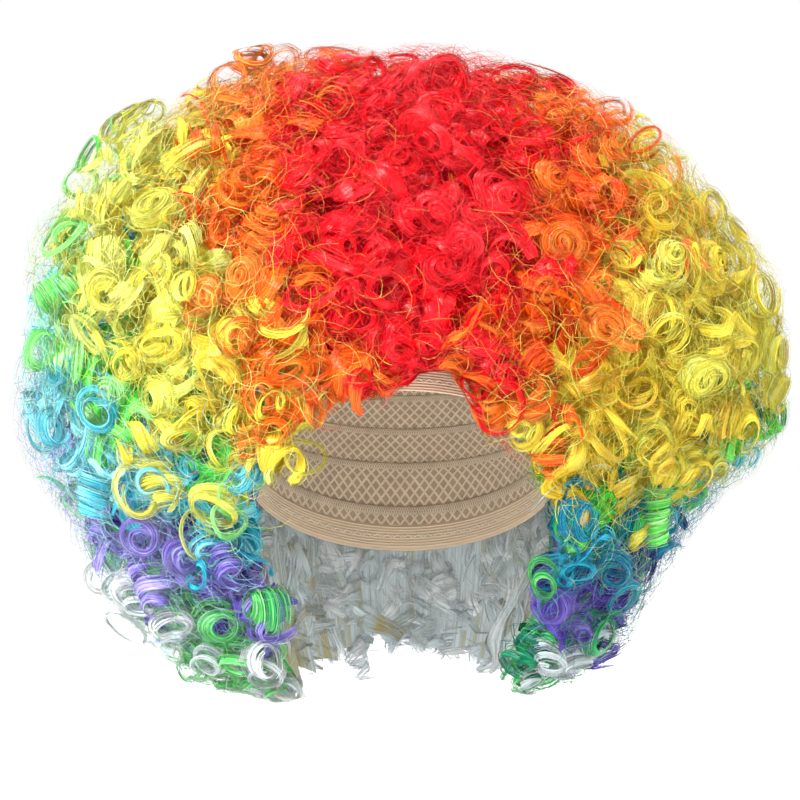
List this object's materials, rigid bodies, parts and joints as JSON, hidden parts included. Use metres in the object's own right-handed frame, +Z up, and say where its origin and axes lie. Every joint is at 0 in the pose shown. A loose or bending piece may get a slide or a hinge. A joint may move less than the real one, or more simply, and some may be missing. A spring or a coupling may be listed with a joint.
{
  "type": "clown wig",
  "caption": "Full round wig of curly synthetic hair in rings of rainbow colours, sewn to a net cap with an elastic edge band.",
  "frame": {"origin": "inside top of the cap, where the crown of the head sits", "axes": "+Z up, -Y towards the face, +X to the right of someone who looks at the face"},
  "size_m": [0.3552, 0.3252, 0.3053],
  "materials": {
    "net": "beige net",
    "band": "beige elastic band",
    "red_hair": "glossy curled synthetic fibre, red",
    "orange_hair": "glossy curled synthetic fibre, orange",
    "yellow_hair": "glossy curled synthetic fibre, yellow",
    "green_hair": "glossy curled synthetic fibre, green",
    "blue_hair": "glossy curled synthetic fibre, turquoise",
    "purple_hair": "glossy curled synthetic fibre, violet",
    "teal_hair": "glossy curled synthetic fibre, green and teal",
    "pale_hair": "glossy curled synthetic fibre, pale white and gold"
  },
  "bodies": {
    "root": {"cap": "net", "edge_band": "band", "hair_red": "red_hair", "hair_orange": "orange_hair", "hair_yellow": "yellow_hair", "hair_green": "green_hair", "hair_blue": "blue_hair", "hair_purple": "purple_hair", "hair_teal": "teal_hair", "hair_pale": "pale_hair"}
  },
  "joints": []
}
